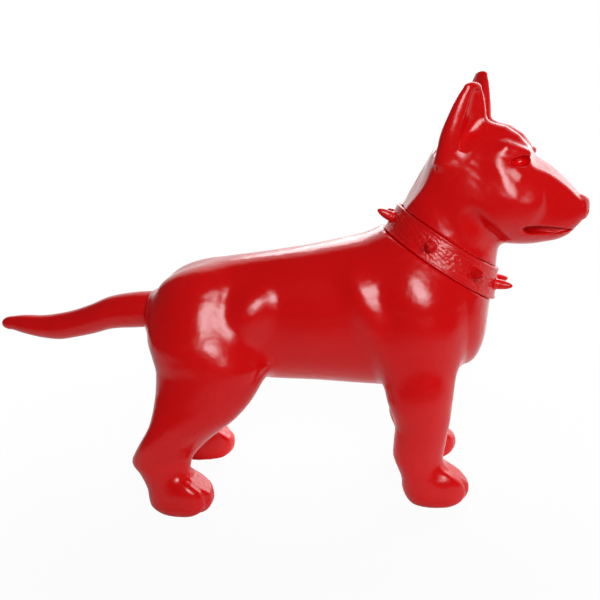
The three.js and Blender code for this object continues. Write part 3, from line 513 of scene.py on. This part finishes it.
def head_skin(p):
    """The head with the neck above the joint."""
    d = blend(body_form(p), head_form(p), HEAD_REACH)
    for waves in HEAD_WAVES:
        d = d + ripples(p, *waves)
    d = sink(d, mirrored(to_head(p)), capsule, JAW_CREASE)
    d = np.maximum(d, JOINT - neck_height(p))
    d = np.maximum(d, -seat_groove(p))
    return carve(d, mouth_form(p), MOUTH_REACH)


# From a form to a mesh.


def field_of(form, space, cell):
    """The form on a grid of points: exact near its surface, rough elsewhere."""
    low, high = space
    size = cell * BLOCK
    count = [math.ceil((top - bottom) / size) for bottom, top in zip(low, high)]
    axes = [bottom + size * (np.arange(n) + 0.5) - cell / 2 for bottom, n in zip(low, count)]
    centres = np.stack(np.meshgrid(*axes, indexing="ij")).reshape(3, -1)
    rough = form(centres)
    near = np.abs(rough) < NEAR * size
    steps = cell * (np.arange(BLOCK) - (BLOCK - 1) / 2)
    offsets = np.stack(np.meshgrid(steps, steps, steps, indexing="ij")).reshape(3, -1)
    points = (centres[:, near, None] + offsets[:, None, :]).reshape(3, -1)
    blocks = np.repeat(rough[:, None], BLOCK**3, axis=1)
    blocks[near] = form(points).reshape(-1, BLOCK**3)
    blocks = blocks.reshape(*count, BLOCK, BLOCK, BLOCK).transpose(0, 3, 1, 4, 2, 5)
    return blocks.reshape([n * BLOCK for n in count])


def surface_net(field):
    """Quads round the places where a field changes sign: points in grid steps, and faces."""
    inside = field < 0
    shape = [n - 1 for n in field.shape]
    corners = [(x, y, z) for x in (0, 1) for y in (0, 1) for z in (0, 1)]
    total = np.zeros(shape, np.int8)
    for x, y, z in corners:
        total += inside[x : x + shape[0], y : y + shape[1], z : z + shape[2]]
    cells = np.argwhere((total > 0) & (total < 8))
    index = np.full(shape, -1)
    index[tuple(cells.T)] = np.arange(len(cells))
    crossing = np.zeros((len(cells), 3))
    count = np.zeros(len(cells))
    for axis, step in enumerate(np.eye(3, dtype=int)):
        for corner in corners:
            if corner[axis]:
                continue
            here = field[tuple((cells + corner).T)]
            there = field[tuple((cells + corner + step).T)]
            cut = (here < 0) != (there < 0)
            part = np.where(cut, here / np.where(cut, here - there, 1), 0)
            crossing += cut[:, None] * (np.array(corner) + part[:, None] * step)
            count += cut
    points = cells + crossing / count[:, None]
    faces = []
    for axis in range(3):
        one, two = np.eye(3, dtype=int)[[(axis + 1) % 3, (axis + 2) % 3]]
        here = np.moveaxis(inside, axis, 0)
        change = np.moveaxis(here[1:] != here[:-1], 0, axis)
        edges = np.argwhere(change)
        edges = edges[((edges @ one) > 0) & ((edges @ two) > 0)]
        ring = [edges - one - two, edges - two, edges, edges - one]
        quads = np.stack([index[tuple(cell.T)] for cell in ring], 1)
        leaving = inside[tuple(edges.T)]
        quads[~leaving] = quads[~leaving][:, ::-1]
        faces.append(quads)
    return points, np.concatenate(faces)


def slope_of(form, points, step=0.05):
    """A form's distance at some points, and how it changes along each axis."""
    value = form(points)
    slope = [form(points + step * axis[:, None]) - value for axis in np.eye(3)]
    return value, np.stack(slope) / step


def settle(form, points, limit):
    """Moves points near the surface of a form onto it."""
    for _ in range(SETTLE_ROUNDS):
        value, slope = slope_of(form, points)
        move = np.clip(value / np.maximum((slope * slope).sum(0), LEAST_SLOPE), -limit, limit)
        points = points - move * slope
    return points


def add_mesh(name, points, faces, slot, *nodes):
    """A smooth piece of the statue from points in millimetres, standing for the given nodes."""
    mesh = bpy.data.meshes.new(name)
    places = (np.asarray(points, float) + [SHIFT_X, 0, 0]) * MM
    mesh.from_pydata(places.tolist(), [], [list(face) for face in faces])
    mesh.polygons.foreach_set("use_smooth", [True] * len(mesh.polygons))
    mesh.update()
    piece = bpy.data.objects.new(name, mesh)
    bpy.context.scene.collection.objects.link(piece)
    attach(piece, "root")
    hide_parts(*nodes)
    return piece


def add_skin(name, form, space, cell, *nodes):
    """A lacquered piece from a sculpted form."""
    points, faces = surface_net(field_of(form, space, cell))
    points = settle(form, points.T * cell + np.array(space[0], float)[:, None], cell)
    return add_mesh(name, points.T, faces, "lacquer", *nodes)


def seat_point(height, growth, angle):
    """A point on the collar's seat, grown outwards; the angle runs from the throat by the dog's right."""
    long, wide, middle = seat_size(height)
    nape = middle - (long + growth) * np.cos(angle)
    right = (wide + growth) * np.sin(angle)
    parts = ((NECK_RISE, height), (NECK_NAPE, nape), (RIGHT, right))
    return NECK_FOOT[:, None] + sum(axis[:, None] * value for axis, value in parts)


def add_tail():
    """The tail, round all along."""
    rows = [[x, z + radius, z - radius, radius] for x, z, radius in TAIL]
    form = loft(rows, X_AXIS, Z_AXIS, Y_AXIS, TAIL_CAPS)
    return add_skin("tail_skin", form, TAIL_SPACE, TAIL_CELL, "tail")


def add_strap():
    """The strap: a closed profile swept round its seat, with raised rims and a hammered, tooled face."""
    steps, over, under = STRAP_STEPS
    rows = over + under
    half = STRAP_WIDTH / 2
    angle = np.arange(steps) * 2 * math.pi / steps
    there = np.linspace(1, -1, over, endpoint=False)
    back = np.linspace(-1, 1, under, endpoint=False)
    across = np.append(there, back)
    square, corner = STRAP_EDGE
    out = (1 - np.abs(across) ** square) ** corner * (np.arange(rows) < over)
    a, t = (grid.ravel() for grid in np.meshgrid(angle, half * across, indexing="ij"))
    face = np.tile(out, steps)
    growth = FIT + STRAP_THICKNESS * face
    for rim in (half - RIM_WIDTH / 2, RIM_WIDTH / 2 - half):
        growth += face * RIM_RAISE * ridge(t, rim, RIM_SPREAD)
    run = a * (SEAT_LOW[2] + SEAT_HIGH[2]) / 2
    margin, fade = HAMMERED_FROM
    flat = np.clip((half - margin - np.abs(t)) / fade, 0, 1)
    growth += face * flat * ripples(np.array([run, t]), *STRAP_HAMMERING)
    growth += face * flat * ripples(np.array([STRAP_STREAK_DRAW * run, t]), *STRAP_STREAKS)
    growth += face * ripples(np.array([run, t]), *STRAP_WAVES)
    height, spread, fade = TOOLED_LINE
    for middle, start, end in TOOLED_LINES:
        line = np.clip(np.minimum(a - start, end - a) / fade, 0, 1)
        growth += face * line * height * ridge(t, middle, spread)
    points = seat_point(JOINT + t, growth, a)
    index = np.arange(steps * rows).reshape(steps, rows)
    ahead = np.roll(index, -1, 0)
    faces = np.stack([index, np.roll(index, -1, 1), np.roll(ahead, -1, 1), ahead], -1).reshape(-1, 4)
    return add_mesh("collar_strap", points.T, faces, "collar_lacquer", "collar")


def add_spike(number, degrees):
    """A turned spike with a flared foot that stands square on the strap."""
    angle = math.radians(degrees)
    growth = FIT + STRAP_THICKNESS
    place = seat_point(JOINT, growth, np.array([angle]))[:, 0]
    ahead, behind = seat_point(JOINT, growth, np.array([angle + NUDGE, angle - NUDGE])).T
    above, below = (seat_point(JOINT + step, growth, np.array([angle]))[:, 0] for step in (1, -1))
    out = np.cross(above - below, ahead - behind)
    out /= np.linalg.norm(out)
    one = (ahead - behind) / np.linalg.norm(ahead - behind)
    two = np.cross(out, one)
    turn = np.arange(SPIKE_SIDES) * 2 * math.pi / SPIKE_SIDES
    spokes = np.cos(turn)[:, None] * one + np.sin(turn)[:, None] * two
    points = np.concatenate([place + spokes * radius + out * height for radius, height in SPIKE[:-1]])
    points = np.vstack([points, place + out * SPIKE[-1][1]])
    faces = []
    for row in range(len(SPIKE) - 2):
        for i in range(SPIKE_SIDES):
            k = (i + 1) % SPIKE_SIDES
            low, high = row * SPIKE_SIDES, (row + 1) * SPIKE_SIDES
            faces.append([low + i, low + k, high + k, high + i])
    top = (len(SPIKE) - 2) * SPIKE_SIDES
    faces += [[top + i, top + (i + 1) % SPIKE_SIDES, len(points) - 1] for i in range(SPIKE_SIDES)]
    faces.append(list(range(SPIKE_SIDES))[::-1])
    return add_mesh(f"spike_{number}", points, faces, "collar_lacquer", f"collar_spike_{number}")


body = add_skin("body_skin", body_skin, BODY_SPACE, BODY_CELL, "body_shell_right", "body_shell_left")
head = add_skin("head_skin", head_skin, HEAD_SPACE, HEAD_CELL, "head_shell")
tail = add_tail()
strap = add_strap()
spikes = [add_spike(i + 1, degrees) for i, degrees in enumerate(SPIKE_ANGLES)]


# Materials.


def principled(name, **sockets):
    """A material with its node tree and its shader, some of whose sockets are set."""
    material = bpy.data.materials.new(name)
    material.use_nodes = True
    shader = material.node_tree.nodes["Principled BSDF"]
    for socket, value in sockets.items():
        shader.inputs[socket].default_value = value
    return material, material.node_tree, shader


def link(tree, source, target):
    tree.links.new(source, target)


def map_range(tree, source, limits, smooth=False):
    """A value mapped from one range to another: from the first two limits to the last two."""
    node = tree.nodes.new("ShaderNodeMapRange")
    node.interpolation_type = "SMOOTHSTEP" if smooth else "LINEAR"
    for socket, value in zip(("From Min", "From Max", "To Min", "To Max"), limits):
        node.inputs[socket].default_value = value
    link(tree, source, node.inputs["Value"])
    return node.outputs[0]


def combine(tree, operation, one, two):
    node = tree.nodes.new("ShaderNodeMath")
    node.operation = operation
    link(tree, one, node.inputs[0])
    link(tree, two, node.inputs[1])
    return node.outputs[0]


def noise_fade(tree, scale, detail, low, high, values=(0, 1)):
    """A noise in the object's own frame, mapped from part of its range to two values."""
    place = tree.nodes.new("ShaderNodeTexCoord")
    noise = tree.nodes.new("ShaderNodeTexNoise")
    noise.inputs["Scale"].default_value = scale
    noise.inputs["Detail"].default_value = detail
    link(tree, place.outputs["Object"], noise.inputs["Vector"])
    factor = "Factor" if "Factor" in noise.outputs else "Fac"
    return map_range(tree, noise.outputs[factor], (low, high, *values))


def mixed_colour(tree, factor, one, two):
    mix = tree.nodes.new("ShaderNodeMix")
    mix.data_type = "RGBA"
    colours = [socket for socket in mix.inputs if socket.type == "RGBA"]
    colours[0].default_value = one
    colours[1].default_value = two
    link(tree, factor, mix.inputs[0])
    return [socket for socket in mix.outputs if socket.type == "RGBA"][0]


def add_bump(tree, shader, height, strength, distance):
    bump = tree.nodes.new("ShaderNodeBump")
    bump.inputs["Strength"].default_value = strength
    bump.inputs["Distance"].default_value = distance
    link(tree, height, bump.inputs["Height"])
    link(tree, bump.outputs[0], shader.inputs["Normal"])


def red_lacquer(name, gloss, grain, strength):
    """Gloss lacquer: a red that varies a little in depth, and a film that is uneven at the given grain."""
    material, tree, shader = principled(name)
    depth = noise_fade(tree, scale=7, detail=2, low=0.35, high=0.65)
    link(tree, mixed_colour(tree, depth, RED_DEEP, RED), shader.inputs["Base Color"])
    roughness = noise_fade(tree, scale=18, detail=3, low=0.35, high=0.7, values=gloss)
    link(tree, roughness, shader.inputs["Roughness"])
    film = noise_fade(tree, scale=grain, detail=1, low=0.3, high=0.7)
    add_bump(tree, shader, film, strength, distance=0.002)
    return material


def brushed_steel():
    """Bare rod steel with an uneven tone."""
    material, tree, shader = principled("brushed_steel", Metallic=1)
    tone = noise_fade(tree, scale=90, detail=3, low=0.3, high=0.7)
    link(tree, mixed_colour(tree, tone, STEEL_DARK, STEEL), shader.inputs["Base Color"])
    roughness = noise_fade(tree, scale=140, detail=2, low=0.3, high=0.7, values=STEEL_GLOSS)
    link(tree, roughness, shader.inputs["Roughness"])
    return material


lacquer = red_lacquer("red_lacquer", GLOSS, grain=60, strength=0.12)
collar_lacquer = red_lacquer("collar_lacquer", COLLAR_GLOSS, grain=170, strength=0.2)
steel = brushed_steel()
for piece in (body, head, tail):
    piece.data.materials.append(lacquer)
for piece in (strap, *spikes):
    piece.data.materials.append(collar_lacquer)
for name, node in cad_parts.items():
    if "rod" in name:
        node.data.materials.clear()
        node.data.materials.append(steel)


# Studio.


def add_camera():
    """The photograph's camera, rolled a little about its own view."""
    back = Vector((
        math.sin(CAMERA_AZIMUTH) * math.cos(CAMERA_ELEVATION),
        -math.cos(CAMERA_AZIMUTH) * math.cos(CAMERA_ELEVATION),
        math.sin(CAMERA_ELEVATION),
    ))
    level = Vector((0, 0, 1)).cross(back).normalized()
    upright = back.cross(level)
    right = level * math.cos(CAMERA_ROLL) - upright * math.sin(CAMERA_ROLL)
    up = upright * math.cos(CAMERA_ROLL) + level * math.sin(CAMERA_ROLL)
    data = bpy.data.cameras.new("camera")
    data.lens = CAMERA_LENS
    camera = bpy.data.objects.new("camera", data)
    place = Vector(CAMERA_TARGET) + back * CAMERA_DISTANCE
    camera.matrix_world = Matrix((right, up, back)).transposed().to_4x4()
    camera.location = place
    bpy.context.scene.collection.objects.link(camera)
    bpy.context.scene.camera = camera


def add_world():
    """White surroundings that fade into a dark room behind the camera, which itself sees only white."""
    world = bpy.data.worlds.new("studio")
    bpy.context.scene.world = world
    world.use_nodes = True
    tree = world.node_tree
    tree.nodes.clear()
    direction = tree.nodes.new("ShaderNodeTexCoord")
    towards = tree.nodes.new("ShaderNodeVectorMath")
    towards.operation = "DOT_PRODUCT"
    towards.inputs[1].default_value = Vector(BACKDROP_WAY).normalized()
    link(tree, direction.outputs["Generated"], towards.inputs[0])
    room = tree.nodes.new("ShaderNodeBackground")
    room.inputs["Color"].default_value = WHITE
    link(tree, map_range(tree, towards.outputs["Value"], ROOM_FADE, True), room.inputs["Strength"])
    white = tree.nodes.new("ShaderNodeBackground")
    white.inputs["Color"].default_value = WHITE
    path = tree.nodes.new("ShaderNodeLightPath")
    mix = tree.nodes.new("ShaderNodeMixShader")
    link(tree, path.outputs["Is Camera Ray"], mix.inputs[0])
    link(tree, room.outputs[0], mix.inputs[1])
    link(tree, white.outputs[0], mix.inputs[2])
    output = tree.nodes.new("ShaderNodeOutputWorld")
    link(tree, mix.outputs[0], output.inputs["Surface"])


def add_floor():
    """White paper that ends in front of the dog, its colour darkened towards the front as painted shade."""
    low, high = FLOOR
    mesh = bpy.data.meshes.new("floor")
    corners = [(low[0], low[1], 0), (high[0], low[1], 0), (high[0], high[1], 0), (low[0], high[1], 0)]
    mesh.from_pydata(corners, [], [(0, 1, 2, 3)])
    floor = bpy.data.objects.new("floor", mesh)
    bpy.context.scene.collection.objects.link(floor)
    paper, tree, shader = principled("paper", Roughness=0.95)
    white = tree.nodes.new("ShaderNodeEmission")
    path = tree.nodes.new("ShaderNodeLightPath")
    place = tree.nodes.new("ShaderNodeNewGeometry")
    parts = tree.nodes.new("ShaderNodeSeparateXYZ")
    link(tree, place.outputs["Position"], parts.inputs[0])
    # Painted shade: the paper's colour darkens towards the front of the dog, seen in reflections and bounce
    # light.
    link(tree, map_range(tree, parts.outputs["Y"], FLOOR_PAINTED_SHADE, True), shader.inputs["Base Color"])
    away = tree.nodes.new("ShaderNodeVectorMath")
    away.operation = "LENGTH"
    link(tree, place.outputs["Position"], away.inputs[0])
    seen = map_range(tree, away.outputs["Value"], FLOOR_WHITE)
    seen = combine(tree, "MULTIPLY", path.outputs["Is Camera Ray"], seen)
    reflected = map_range(tree, parts.outputs["Y"], FLOOR_REFLECTED, True)
    reflected = combine(tree, "MULTIPLY", path.outputs["Is Glossy Ray"], reflected)
    mix = tree.nodes.new("ShaderNodeMixShader")
    link(tree, combine(tree, "MAXIMUM", seen, reflected), mix.inputs[0])
    link(tree, shader.outputs[0], mix.inputs[1])
    link(tree, white.outputs[0], mix.inputs[2])
    link(tree, mix.outputs[0], tree.nodes["Material Output"].inputs["Surface"])
    floor.data.materials.append(paper)


def add_softbox(name, azimuth, elevation, distance, size, radiance):
    """An area lamp that faces the statue; its power follows from its size and how bright it looks."""
    a, e = math.radians(azimuth), math.radians(elevation)
    way = Vector((math.sin(a) * math.cos(e), -math.cos(a) * math.cos(e), math.sin(e)))
    data = bpy.data.lights.new(name, "AREA")
    data.shape = "ELLIPSE"
    data.size, data.size_y = size
    data.color = LAMP_WHITE
    data.energy = radiance * math.pi * (math.pi / 4 * size[0] * size[1])
    lamp = bpy.data.objects.new(name, data)
    lamp.location = Vector(CAMERA_TARGET) + way * distance
    lamp.rotation_mode = "QUATERNION"
    lamp.rotation_quaternion = way.to_track_quat("Z", "Y")
    lamp.visible_camera = False
    bpy.context.scene.collection.objects.link(lamp)


add_camera()
add_world()
add_floor()
for softbox in SOFTBOXES:
    add_softbox(*softbox)
bpy.context.scene.view_settings.view_transform = "Standard"
